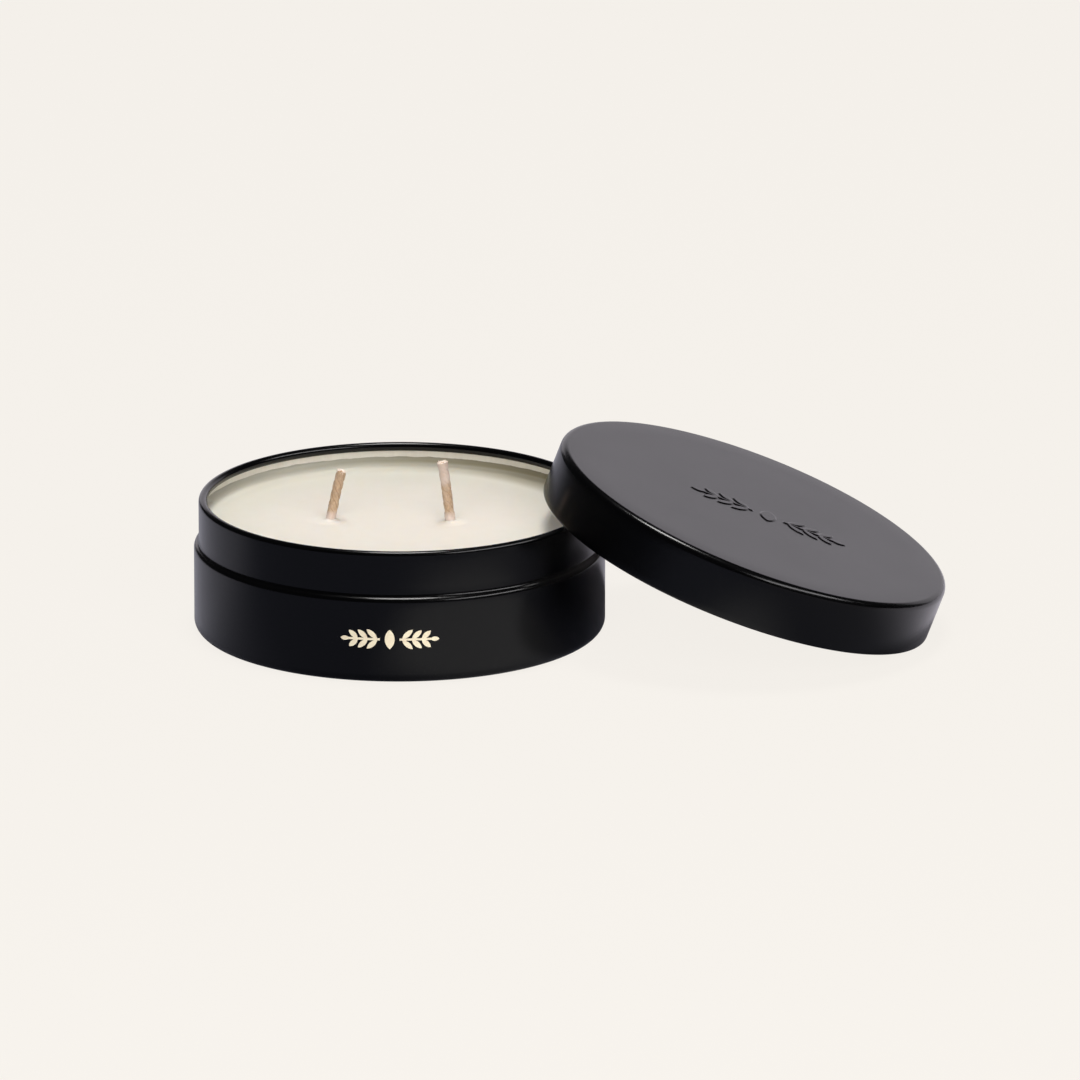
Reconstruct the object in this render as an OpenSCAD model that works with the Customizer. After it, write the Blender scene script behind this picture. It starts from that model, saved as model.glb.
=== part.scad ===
// Two-wick candle in a round slip-lid tin, with the lid leaning against it.
// Origin: centre of the base on the resting plane. +Z is up, -Y is the front
// that carries the foil emblem, and +X runs along the row of wicks towards the lid.

/* [Tin] */
// Outer radius of the drum.
body_r = 45; // [40:0.5:50]
// Height of the open tin, from the resting plane to the top of the rolled rim.
tin_h = 29.35; // [29:0.05:29.8]
// Outer radius of the stepped-in neck that the lid slips over.
neck_r = 43.95; // [43.7:0.05:44]
// Height where the drum's straight side ends and the shoulder begins.
shoulder_z = 18.1; // [16:0.1:19]
// Height of the shoulder from the drum's side to the neck's side.
shoulder_h = 1.88; // [1.6:0.02:2.2]
// Radius of the shoulder's outward curve.
shoulder_out_r = 1.2; // [0.8:0.05:1.3]
// Thickness of the drawn sheet.
sheet = 0.3; // [0.25:0.01:0.4]
// Radius of the drum's bottom corner.
corner_r = 2.2; // [0.8:0.1:2.6]
// Outer radius of the inward-rolled rim tube.
rim_r = 0.98; // [0.9:0.02:1.1]
// Radius of the raised panel in the base.
panel_r = 40.5; // [38:0.5:41]
// Height of that panel above the resting plane.
panel_h = 0.5; // [0.4:0.05:0.8]

/* [Lid] */
// Height of the lid from its skirt's edge to its flat top.
lid_h = 12.2; // [11.6:0.1:13]
// Radius of the lid's rounded top edge.
lid_edge_r = 1.3; // [0.8:0.1:1.8]
// Outer radius of the hem rolled inwards along the skirt's edge.
hem_r = 0.48; // [0.46:0.01:0.48]
// Slope of the leaning lid, in degrees.
lid_tilt = 20.8; // [20.3:0.1:21.8]
// Direction the lid leans in, in degrees about +Z from +X.
lid_turn = -1.3; // [-8:0.1:8]
// Clearance kept between the lid's hem and the tin's rim.
lean_gap = 0.2; // [0.1:0.05:0.3]

/* [Wax] */
// Height of the flat wax surface.
wax_z = 23.8; // [22:0.1:24.5]
// Radius of the hollow fillet of wax that climbs the neck's wall.
meniscus_r = 2; // [0.6:0.1:2.2]

/* [Wicks] */
// Radius of a braided wick.
wick_r = 1.15; // [1:0.05:1.3]
// Radius of the core inside the braid.
core_r = 0.45; // [0.3:0.05:0.6]
// Position of the left wick's foot along X.
left_x = -17; // [-19:0.1:-13]
// Position of the right wick's foot along X.
right_x = 12.2; // [11:0.1:19]
// Height of the left wick's cut end.
left_top = 35; // [31:0.1:39]
// Height of the right wick's cut end.
right_top = 37.2; // [31:0.1:39]
// Radius of the left wick's gentle bend towards +X.
left_bend = 130; // [110:1:400]
// Radius of the right wick's gentle bend towards -X.
right_bend = 228; // [110:1:400]

/* [Wick sustainers] */
// Radius of a sustainer's disc.
disc_r = 10; // [8:0.5:10]
// Thickness of a sustainer's sheet.
disc_t = 0.3; // [0.25:0.05:0.4]
// Height of the crimped collar above the disc.
collar_h = 3; // [2:0.1:5]
// Radius of an adhesive pad.
pad_r = 9.5; // [7:0.5:9.5]
// Thickness of an adhesive pad.
pad_t = 0.8; // [0.5:0.1:1]

/* [Trim] */
// Width of the foil emblem on the drum.
emblem_w = 21.4; // [16:0.2:24]
// Height of the emblem's centre on the drum.
emblem_z = 10.1; // [7:0.1:11]
// Thickness of the foil.
foil = 0.1; // [0.08:0.01:0.15]
// Width of the same ornament raised in the lid's top.
relief_w = 36; // [30:1:40]
// Distance of that ornament's centre from the lid's centre, down the slope.
relief_x = 3; // [0:0.1:5]
// Height of the raised ornament above the lid's top.
relief_h = 0.35; // [0.2:0.05:0.5]
// Radius of the paper label inside the base.
label_r = 34; // [25:0.5:38]
// Thickness of the label.
label_t = 0.12; // [0.1:0.01:0.2]

/* [Hidden] */
$fn = 120;
neck_z = shoulder_z + shoulder_h;
// The two shoulder curves touch, so their radii follow from the step and the shoulder's height.
step = body_r - neck_r;
shoulder_sum = (step * step + shoulder_h * shoulder_h) / (2 * step);
shoulder_in_r = shoulder_sum - shoulder_out_r;
out_x = body_r - shoulder_out_r;
in_x = neck_r + shoulder_in_r;
rim_x = neck_r - rim_r;
rim_z = tin_h - rim_r;
floor_z = panel_h + sheet;
disc_z = floor_z + pad_t;
hem_x = body_r - hem_r;
// The lid stands on its hem's lowest point, and its hem crosses the rim at two points.
lid_z = hem_x * sin(lid_tilt) - hem_r * cos(lid_tilt) + hem_r;
cross_h = (hem_r + rim_r + lean_gap) / cos(lid_tilt);
cross_up = rim_z + cross_h - lid_z - hem_r * cos(lid_tilt);
cross_cos = min(0.98, cross_up / (hem_x * sin(lid_tilt)));
cross_y = hem_x * sqrt(1 - cross_cos * cross_cos);
cross_reach = sqrt(rim_x * rim_x - cross_y * cross_y);
lid_x = hem_x * cos(lid_tilt) * cross_cos - hem_r * sin(lid_tilt) + cross_reach;
// The ornament is drawn this wide, then scaled.
drawn_w = 20;

// Half-profile of the tin's outside, or of its inside when inset is the sheet's thickness.
module drum_profile(inset) {
    translate([0, inset])
        square([body_r - corner_r, shoulder_z - inset]);
    translate([0, corner_r])
        square([body_r - inset, shoulder_z - corner_r]);
    translate([body_r - corner_r, corner_r])
        circle(r = corner_r - inset);
    translate([out_x, shoulder_z])
        circle(r = shoulder_out_r - inset);
    difference() {
        polygon([[0, shoulder_z], [out_x, shoulder_z], [in_x, neck_z], [0, neck_z]]);
        translate([in_x, neck_z])
            circle(r = shoulder_in_r + inset);
    }
    translate([0, neck_z])
        square([neck_r - inset, rim_z - neck_z]);
}

// The hollow under the base panel. up moves its surface inwards by the sheet's thickness.
module base_hollow(up) {
    slope = panel_r + panel_h + up * sqrt(2);
    polygon([[0, -1], [slope + 1, -1], [slope - panel_h - up, panel_h + up], [0, panel_h + up]]);
}

module tin_outside() {
    difference() {
        drum_profile(0);
        base_hollow(0);
    }
}

module tin_inside() {
    difference() {
        drum_profile(sheet);
        base_hollow(sheet);
    }
}

// A sheet rolled round a wire's space, left open over the stretch from gap_from to gap_to.
module rolled_edge(r, gap_from, gap_to) {
    difference() {
        circle(r = r);
        circle(r = r - sheet);
        polygon([[0, 0], 3 * r * [cos(gap_from), sin(gap_from)], 3 * r * [cos(gap_to), sin(gap_to)]]);
    }
}

module tin_body() {
    color([0.05, 0.05, 0.055])
    rotate_extrude() {
        difference() {
            tin_outside();
            tin_inside();
        }
        translate([rim_x, rim_z])
            rolled_edge(rim_r, 290, 360);
    }
}

// Half-profile of the lid's outside, or of its inside when inset is the sheet's thickness.
module lid_profile(inset) {
    translate([0, hem_r])
        square([body_r - inset, lid_h - lid_edge_r - hem_r]);
    translate([0, hem_r])
        square([body_r - lid_edge_r, lid_h - inset - hem_r]);
    translate([body_r - lid_edge_r, lid_h - lid_edge_r])
        circle(r = lid_edge_r - inset);
}

module lid_sheet() {
    rotate_extrude() {
        difference() {
            lid_profile(0);
            lid_profile(sheet);
        }
        translate([hem_x, hem_r])
            rolled_edge(hem_r, 0, 90);
    }
}

// The lid in its own place: skirt's edge on z = 0, top up.
module lid_upright() {
    difference() {
        union() {
            lid_sheet();
            translate([relief_x, 0, lid_h - sheet / 2])
                linear_extrude(relief_h + sheet / 2)
                    scale(relief_w / drawn_w)
                        ornament(0);
        }
        translate([relief_x, 0, lid_h - 2 * sheet])
            linear_extrude(relief_h + sheet)
                scale(relief_w / drawn_w)
                    ornament(sheet * drawn_w / relief_w);
    }
}

module lid_shell() {
    color([0.06, 0.06, 0.065])
    rotate([0, 0, lid_turn])
        translate([lid_x, 0, lid_z])
            rotate([0, lid_tilt, 0])
                lid_upright();
}

// A pointed leaf along X, made of two arcs, with its edges moved in by inset.
module leaf(length, width, inset) {
    arc_r = (length * length + width * width) / (4 * width);
    intersection() {
        translate([0, arc_r - width / 2])
            circle(r = arc_r - inset);
        translate([0, width / 2 - arc_r])
            circle(r = arc_r - inset);
    }
}

// One branch of the ornament: a stem with three pairs of leaves and a bud.
module branch(inset) {
    translate([2, inset - 0.22])
        square([6.6, 0.44 - 2 * inset]);
    for (i = [0 : 2]) {
        half = 1.45 - 0.125 * i;
        for (side = [-1, 1]) {
            translate([3.6 + 1.9 * i, side * (0.1 + half * sin(42))])
                rotate(side * 42)
                    leaf(2 * half, 1.05, inset);
        }
    }
    translate([9.1, 0])
        leaf(1.8, 0.9, inset);
}

// A flame between two leafy branches, twenty wide, with every edge moved in by inset.
module ornament(inset) {
    rotate(90)
        leaf(4.1, 2, inset);
    branch(inset);
    mirror([1, 0])
        branch(inset);
}

module wax_fill() {
    color([0.93, 0.89, 0.82])
    difference() {
        rotate_extrude() {
            intersection() {
                tin_inside();
                square([body_r, wax_z]);
            }
            difference() {
                translate([neck_r - sheet - meniscus_r, wax_z])
                    square([meniscus_r, meniscus_r]);
                translate([neck_r - sheet - meniscus_r, wax_z + meniscus_r])
                    circle(r = meniscus_r);
            }
        }
        wick_room(left_x);
        wick_room(right_x);
        left_wick(wick_r, 0);
        right_wick(wick_r, 0);
    }
}

// The space a pad and a sustainer take up in the wax.
module wick_room(x) {
    translate([x, 0, floor_z]) {
        cylinder(r = pad_r, h = pad_t);
        translate([0, 0, pad_t])
            cylinder(r = disc_r, h = disc_t);
        translate([0, 0, pad_t])
            cylinder(r = wick_r + disc_t, h = disc_t + collar_h);
    }
}

// A cord, or a sleeve round a bore, that leaves its foot along Z and bends towards -X.
module bent_cord(r, bore_r, bend, top) {
    translate([-bend, 0, disc_z])
        rotate([90, 0, 0])
            rotate_extrude(angle = asin((top - disc_z) / bend))
                translate([bend, 0])
                    difference() {
                        circle(r = r);
                        circle(r = bore_r);
                    }
}

module left_wick(r, bore_r) {
    translate([left_x, 0, 0])
        mirror([1, 0, 0])
            bent_cord(r, bore_r, left_bend, left_top);
}

module right_wick(r, bore_r) {
    translate([right_x, 0, 0])
        bent_cord(r, bore_r, right_bend, right_top);
}

module wick_sleeve_left() {
    color([0.82, 0.68, 0.58])
        left_wick(wick_r, core_r);
}

module wick_sleeve_right() {
    color([0.82, 0.68, 0.58])
        right_wick(wick_r, core_r);
}

module wick_core_left() {
    color([0.9, 0.86, 0.8])
        left_wick(core_r, 0);
}

module wick_core_right() {
    color([0.9, 0.86, 0.8])
        right_wick(core_r, 0);
}

// A pressed disc with a collar, before the wick is put through it.
module sustainer_blank(x) {
    translate([x, 0, disc_z]) {
        cylinder(r = disc_r, h = disc_t);
        cylinder(r = wick_r + disc_t, h = disc_t + collar_h);
    }
}

module sustainer_left() {
    color([0.75, 0.75, 0.76])
    difference() {
        sustainer_blank(left_x);
        left_wick(wick_r, 0);
    }
}

module sustainer_right() {
    color([0.75, 0.75, 0.76])
    difference() {
        sustainer_blank(right_x);
        right_wick(wick_r, 0);
    }
}

module pad_left() {
    color([0.95, 0.95, 0.93])
    translate([left_x, 0, floor_z])
        cylinder(r = pad_r, h = pad_t);
}

module pad_right() {
    color([0.95, 0.95, 0.93])
    translate([right_x, 0, floor_z])
        cylinder(r = pad_r, h = pad_t);
}

module front_emblem() {
    color([0.86, 0.7, 0.42])
    intersection() {
        difference() {
            cylinder(r = body_r + foil, h = shoulder_z);
            translate([0, 0, -1])
                cylinder(r = body_r, h = shoulder_z + 2);
        }
        translate([0, 0, emblem_z])
            rotate([90, 0, 0])
                linear_extrude(body_r + 1)
                    scale(emblem_w / drawn_w)
                        ornament(0);
    }
}

module base_label() {
    color([0.96, 0.95, 0.92])
    translate([0, 0, panel_h - label_t])
        cylinder(r = label_r, h = label_t);
}

tin_body();
wax_fill();
wick_sleeve_left();
wick_sleeve_right();
wick_core_left();
wick_core_right();
sustainer_left();
sustainer_right();
pad_left();
pad_right();
front_emblem();
base_label();
lid_shell();
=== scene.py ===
"""Looks for the two-wick candle tin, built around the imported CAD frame.

Sizes and places on the tin, the lid, the wicks, the wax and the floor are in millimetres, and
turn into metres where a mesh or a material is made. The view's distance and the lights' places
and sizes are in metres.
"""

import math
import random

import bmesh
import bpy
from mathutils import Matrix, Vector, noise


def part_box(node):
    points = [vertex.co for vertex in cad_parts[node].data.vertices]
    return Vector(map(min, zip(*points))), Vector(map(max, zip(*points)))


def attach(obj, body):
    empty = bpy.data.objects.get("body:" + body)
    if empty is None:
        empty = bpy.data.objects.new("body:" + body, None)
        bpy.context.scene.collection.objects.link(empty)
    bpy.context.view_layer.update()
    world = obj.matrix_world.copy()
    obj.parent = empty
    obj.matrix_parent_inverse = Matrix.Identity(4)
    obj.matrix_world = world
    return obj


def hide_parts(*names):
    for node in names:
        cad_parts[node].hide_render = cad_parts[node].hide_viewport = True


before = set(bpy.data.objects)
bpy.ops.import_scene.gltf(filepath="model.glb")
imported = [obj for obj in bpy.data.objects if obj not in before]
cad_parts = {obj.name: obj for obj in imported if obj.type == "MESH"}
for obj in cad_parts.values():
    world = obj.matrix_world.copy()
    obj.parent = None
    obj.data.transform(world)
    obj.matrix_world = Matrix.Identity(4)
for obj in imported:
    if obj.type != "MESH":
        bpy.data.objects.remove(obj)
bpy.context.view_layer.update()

MM = 0.001
TAU = 2 * math.pi

# ---------------------------------------------------------------- tin, mm

TIN_LO, TIN_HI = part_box("tin_body")
BODY_R = (TIN_HI.x - TIN_LO.x) / 2 / MM
TIN_H = TIN_HI.z / MM
NECK_R = BODY_R - 1.05
SHEET = 0.3
SHOULDER_Z = 18.1
SHOULDER_H = 1.88
SHOULDER_OUT_R = 1.2
CORNER_R = 2.2
RIM_R = 0.98
RIM_CURL = 290  # degrees of sheet rolled into the rim
PANEL_R = 40.5
PANEL_H = 0.5
FLOOR_Z = PANEL_H + SHEET
# the base panel's edge, outside and inside: distance past PANEL_R and height
PANEL_EDGE = ((0.0, PANEL_H), (0.25, 0.38), (0.5, 0.06), (0.75, 0.0))
PANEL_EDGE_IN = ((0.62, SHEET), (0.12, FLOOR_Z))
SEGMENTS = 384
SHARP = 40  # degrees between faces, past which an edge is not smoothed
PATCH_SPREAD = 7  # rings of faces that turn a rectangular patch into a circle

# ---------------------------------------------------------------- lid, mm

LID_H = 12.2
LID_EDGE_R = 1.55
HEM_R = 0.48
HEM_CURL = 270
LID_TILT = math.radians(20.8)
LID_TURN = math.radians(-1.3)
LEAN_GAP = 0.2  # between the lid and the rim
LID_LOOPS = (30, 38)
RELIEF_W = 36.0
RELIEF_X = 3.0
RELIEF_H = 0.20
RELIEF_SOFT = 0.44
RELIEF_STEP = 0.125
RELIEF_MARGIN = 1.2
RELIEF_HALF_Y = 4.9

# the ornament, drawn twenty wide: a flame, and on each side a stem, its leaves and a bud
ORNAMENT_W = 20
FLAME_L, FLAME_W = 4.1, 2
CLEAR_OF_FLAME = 1.2  # nearer the middle than this there is only the flame
STEM_X, STEM_HALF, STEM_T = 5.3, 3.3, 0.22
BUD_X, BUD_L, BUD_W = 9.1, 1.8, 0.9
LEAVES, LEAF_X, LEAF_STEP, LEAF_Y = 3, 3.6, 1.9, 0.1
LEAF_HALF, LEAF_SHRINK, LEAF_W = 1.45, 0.125, 1.05
LEAF_TURN = math.radians(42)

# ---------------------------------------------------------------- wax, mm

WALL_R = NECK_R - SHEET
WAX_Z = 23.8
WAX_GAP = 0.004  # between the wax and the tin
WAX_WAVES = ((0.05, 0.06, 3.1), (0.012, 0.35, 7.7))  # height, waves per mm, seed
WAX_PATCH = dict(cx=-1.8, half_x=18.5, half_y=6.6, step=0.15)
WAX_LOOPS = (30, 32, 34, 36, 37.5, WALL_R - 5)
COLLAR_H, COLLAR_FADE = 0.42, 0.45
COLLAR_RAGGED, COLLAR_RATE, COLLAR_SEED = 0.5, 0.9, 11.0
SWELL_H, SWELL_R, SWELL_W = 0.10, 2.6, 0.9
# dips beside each wick: place from the wick, depth, size
DIPS = ((-2.9, -2.2, 0.22, 1.9), (2.6, -1.6, 0.12, 1.5), (-0.4, -3.4, 0.08, 1.4))
DIP_CLEAR = 1.9
MENISCUS_R = 2.0
MENISCUS_FADE = 1.0
# distance of the meniscus's rings from the wall
MENISCUS_RINGS = (
    4.4, 3.8, 3.3, 2.8, 2.35, 1.95, 1.6, 1.3, 1.05, 0.82, 0.62, 0.45, 0.32, 0.22, 0.14,
)
FILM_TOP = WAX_Z + MENISCUS_R
FILM_BELOW = 0.35  # the meniscus ends this far under the film's top
FILM_T = 0.08
FILM_THIN_FROM = 0.75  # of the film's height
FILM_THINNED = 0.75  # of its thickness, lost by the top
FILM_RINGS = (0.25, 0.5, FILM_THIN_FROM, 0.92, 1.0)
FILM_LIP = 0.02
FILM_WAVES = ((0.16, 2.5, 0.3), (0.13, 14, 5.0))
FILM_TEETH = (0.10, 45, 9.0)

# ---------------------------------------------------------------- wicks, mm

WICK_R = 1.15
CORE_R = 0.45
DISC_Z = FLOOR_Z + 0.8
# foot: place along X; top: height; bend: its radius; side: the way it bends; flare: of the
# cut end; pale_from: height at which the head pales; seed: for everything random
WICKS = {
    "left": dict(foot=-17.0, top=35.0, bend=130.0, side=1, flare=0.0, pale_from=40.0, seed=4),
    "right": dict(foot=12.2, top=37.2, bend=228.0, side=-1, flare=0.18, pale_from=31.0, seed=9),
}
STRANDS = 4
BRAID_PITCH = 9.0
BRAID_DEPTH, BRAID_LEVEL = 0.17, 0.40
BRAID_CROSSING = 6
BRAID_UNDER = 0.42  # height of the strands that cross under, where the others are 0 to 1
BRAID_ROUND = 0.8
GROOVE = 0.47  # faces lower than this are the grooves
# shares of the wick's radius: the plain sleeve, its soaked foot, a slow wobble and a fine grain
SLEEVE_BASE = 0.86
SOAK, SOAK_FADE, SOAK_DEPTH = 0.06, 0.9, 0.6
WOBBLE, WOBBLE_RATE = 0.07, 0.45
GRAIN, GRAIN_AROUND, GRAIN_ALONG = 0.05, 2.2, 2.5
SLEEVE_AROUND = 84
SLEEVE_STEP = 0.08
SLEEVE_STEPS_IN_WAX = 24
FLARE_FADE = 0.8
STRAY, STRAY_RATE = 0.25, 0.6  # of the plait along the wick
CUT_ROUGH, CUT_RATE, CUT_REACH = 0.16, 2, 0.5
# the cut end's rings, from the sleeve to the core: radius, height over the end
CUT_RINGS = ((0.92, 0.05), (0.78, 0.0), (0.62, -0.10), (CORE_R, -0.28), (CORE_R * 0.9, -0.8))
CUT_DEPTH = 0.85  # of the middle of the cut end
CUT_RIDGE, RIDGE_AROUND, RIDGE_INWARDS = 0.14, 3, 6
FIBRES = 30
FIBRE_POINTS = 5
FIBRE_ROOT = 0.5
# each fibre's least value and spread; its place is a share of the wick's radius
FIBRE_REACH = (0.50, 0.40)
FIBRE_R = (0.030, 0.03)
FIBRE_PLACE = (0.45, 0.5)
FIBRE_BEND = (0.10, 0.22)
FIBRE_TWIST = 0.25
THREAD_TIP = 0.55  # of its radius
CORE_PLIES = 3
PLY_PLACE, PLY_R = CORE_R * 0.48, CORE_R * 0.46
CORE_STEPS = 120
CORE_TWIST = 1.6  # radians per mm
CORE_SUNK = 0.05

# ---------------------------------------------------------------- view

VIEW_AZIMUTH = math.radians(2.3)
VIEW_ELEVATION = math.radians(16.315)
VIEW_TARGET = Vector((30.70, 1.23, 19.36)) * MM
VIEW_DISTANCE = 3.697
VIEW_LENS = 563.2
VIEW_SENSOR = 36
VIEW_CLIP = (0.1, 50)

# ---------------------------------------------------------------- lights, m and watts

MIDDLE = (0.03, 0.0, 0.02)
LIGHTS = {
    "top_strip": dict(
        place=(0.03, 0.10, 2.0), aim=MIDDLE, size=(0.60, 0.60), power=26.5,
        colour=(1.0, 0.985, 0.97),
    ),
    "back_wall": dict(
        place=(0.3, 1.6, 0.36), aim=(0.03, 0, 0.1), size=(2.4, 0.72), power=4.3,
        colour=(1.0, 0.95, 1.02),
    ),
    "front_fill": dict(
        place=(0.10, -0.82, 0.44), aim=MIDDLE, size=(1.2, 0.5), power=10.0,
        colour=(1.0, 0.985, 0.96),
    ),
    "right_strip": dict(
        place=(1.39, -0.65, 1.29), aim=MIDDLE, size=(1.87, 0.42), power=18.0,
        colour=(1.0, 0.98, 1.0),
    ),
}
WORLD_DIM = (0.03, 0.03, 0.032)

# ---------------------------------------------------------------- floor

FLOOR_HALF = 6000
FLOOR_COLOUR = (0.913, 0.879, 0.831)
FLOOR_SHADOW = 0.045
# what the lacquer sees of the floor, painted as a reflection: dark tones in front, lighter ones
# behind, and the places where they change
FLOOR_FRONT = (0.17, 0.18, 0.235)
FLOOR_FRONT_RIGHT = (0.27, 0.27, 0.30)
FLOOR_BACK_LEFT = (0.47, 0.47, 0.55)
FLOOR_BACK_RIGHT = (0.81, 0.78, 0.87)
FLOOR_LIGHT_POOL = (0.62, 0.62, 0.64)
FRONT_X = (80, 140)
BACK_X = (-50, 140)
BACK_Y = (-35, 15)
# how much further back the dark front tone goes on, along X: furthest under the lid, as a painted
# shadow of the lid
SHADE_EDGE_X = (-50, 150)
SHADE_EDGE_STOPS = ((0.05, 0.15), (0.40, 0.40), (0.52, 0.88), (0.72, 0.88), (0.90, 0.0))
SHADE_EDGE_Y = (-20, 30)
# a painted pool of light on the floor at the front right, seen only in reflections
LIGHT_POOL_X, LIGHT_POOL_Y = 46, -72
LIGHT_POOL_SQUASH = 0.9
LIGHT_POOL_REACH = (54, 30)

# ---------------------------------------------------------------- colours, linear

LACQUER = (0.0004, 0.0004, 0.0005)
LACQUER_LIGHT = tuple(c * 1.5 for c in LACQUER)
LACQUER_IOR = 1.38
TIN_GLOSS = (0.16, 0.22)  # roughness, from the smoothest to the roughest
LID_GLOSS = (0.17, 0.23)
TINPLATE = ((0.68, 0.65, 0.59), (0.80, 0.77, 0.71))
WAX_WARM = (0.80, 0.75, 0.67)
WAX_COOL = (0.73, 0.71, 0.615)
# dark olive of thin wax over the metal, deepened into painted shade; also the colour of the painted
# shade below the back rim
WAX_THIN_AND_SHADE = (0.26, 0.225, 0.145)
WAX_IOR = 1.43
WAX_SCATTER = (0.0035, 0.0026, 0.0017)  # m, as the shader takes it
# where the wax turns cool, outwards, and how far; where its film is thin, upwards, and where the
# film's painted shade deepens, along X; mm
COOL_R, COOL_SHARE, COOL_CLOUDS = (18, 42.5), 0.8, (-0.12, 0.12)
THIN_Z = (WAX_Z + 0.08, FILM_TOP - 0.7)
THIN_SHADE_X, THIN_SHADE_SHARE = (-35, 30), (0.6, 1.0)
# painted shade on the wax below the back rim, deeper towards +X, mm
REAR_SHADE_R, REAR_SHADE_Y, REAR_SHADE_X, REAR_SHADE_SHARE = (37, 41.5), (5, 25), (-10, 28), (0.22, 0.75)
WICK_TAN = (0.46, 0.325, 0.215)
WICK_GROOVE_SHADE = (0.35, 0.225, 0.135)
# a darker tone painted into the braid's grooves as their shade
WICK_PALE = (0.64, 0.53, 0.475)
WICK_SCATTER = (0.0008, 0.0005, 0.0003)  # m
PALE_FOOT_Z, PALE_FOOT = (WAX_Z + 0.8, WAX_Z + 3.0), (0.95, 0)
PALE_HEAD_H, PALE_HEAD = 3.0, (0, 0.7)
PALE_PATCHES = (-0.15, 0.2)
WICK_CUT = ((0.72, 0.50, 0.34), (0.86, 0.76, 0.68))
CORE_THREAD = ((0.42, 0.23, 0.10), (0.62, 0.38, 0.20))
GOLD = (1.0, 0.84, 0.61)
PAPER = ((0.80, 0.79, 0.75), (0.90, 0.89, 0.86))
STEEL = ((0.55, 0.55, 0.55), (0.72, 0.72, 0.71))
FOAM = ((0.70, 0.70, 0.67), (0.86, 0.86, 0.83))

# where a noise's values mostly lie, and their middle part
MOST = (0.3, 0.7)
MID = (0.35, 0.65)

# places of the materials in a piece's list
LACQUERED, BARE = 0, 1
COTTON, SHADED_GROOVES, CUT = 0, 1, 2


# ================================================================ mesh helpers


def arc(cx, cz, r, a0, a1, steps):
    """Points on an arc from a0 to a1 degrees, both ends included."""
    out = []
    for i in range(steps + 1):
        a = math.radians(a0 + (a1 - a0) * i / steps)
        out.append((cx + r * math.cos(a), cz + r * math.sin(a)))
    return out


def line(p, q, steps):
    """Points between p and q, without either end."""
    return [
        (p[0] + (q[0] - p[0]) * i / steps, p[1] + (q[1] - p[1]) * i / steps)
        for i in range(1, steps)
    ]


def circle(n, start=0.0):
    """n angles round a circle."""
    return [start + TAU * i / n for i in range(n)]


class Builder:
    """Collects points and faces. A face's kind is its material's place in the list."""

    def __init__(self):
        self.verts, self.faces, self.kinds = [], [], []

    def add(self, p):
        self.verts.append(tuple(p))
        return len(self.verts) - 1

    def ring(self, points):
        return [self.add(p) for p in points]

    def face(self, corners, kind):
        self.faces.append(tuple(corners))
        self.kinds.append(kind)

    def bridge(self, a, b, kind=0):
        """A band of faces between two rings."""
        n = len(a)
        for i in range(n):
            j = (i + 1) % n
            self.face((a[i], a[j], b[j], b[i]), kind)

    def grid(self, rows, kind):
        for low, high in zip(rows, rows[1:]):
            for c in range(len(low) - 1):
                self.face((low[c], low[c + 1], high[c + 1], high[c]), kind)

    def cap(self, ring, tip, kind=0):
        """Closes a ring onto one point."""
        top = self.add(tip)
        n = len(ring)
        for i in range(n):
            self.face((ring[(i + 1) % n], ring[i], top), kind)


def linked(name, data):
    """A new object in the scene."""
    obj = bpy.data.objects.new(name, data)
    bpy.context.scene.collection.objects.link(obj)
    return obj


def mesh_object(name, b, body, materials):
    """One piece from a builder's points in millimetres, riding on a CAD body."""
    mesh = bpy.data.meshes.new(name)
    mesh.from_pydata([Vector(v) * MM for v in b.verts], [], b.faces)
    for m in materials:
        mesh.materials.append(m)
    mesh.polygons.foreach_set("material_index", b.kinds)
    mesh.polygons.foreach_set("use_smooth", [True] * len(mesh.polygons))
    bm = bmesh.new()
    bm.from_mesh(mesh)
    bmesh.ops.recalc_face_normals(bm, faces=bm.faces)
    bm.to_mesh(mesh)
    bm.free()
    mesh.validate()
    mesh.update()
    obj = linked(name, mesh)
    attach(obj, body)
    return obj


def sharpen(obj, degrees):
    """Marks the edges sharper than this, so that smooth shading stops there."""
    limit = math.radians(degrees)
    mesh = obj.data
    normals = [p.normal.copy() for p in mesh.polygons]
    sides = {}
    for p in mesh.polygons:
        for key in p.edge_keys:
            sides.setdefault(key, []).append(p.index)
    sharp = []
    for e in mesh.edges:
        near = sides.get(e.key, [])
        hard = len(near) == 2 and normals[near[0]].angle(normals[near[1]], 0) > limit
        sharp.append(hard)
    mesh.attributes.new("sharp_edge", "BOOLEAN", "EDGE").data.foreach_set("value", sharp)
    mesh.update()


def patch_axis(half, step):
    """Even steps from -half to half."""
    n = max(2, round(2 * half / step))
    return [-half + 2 * half * i / n for i in range(n + 1)]


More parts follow.
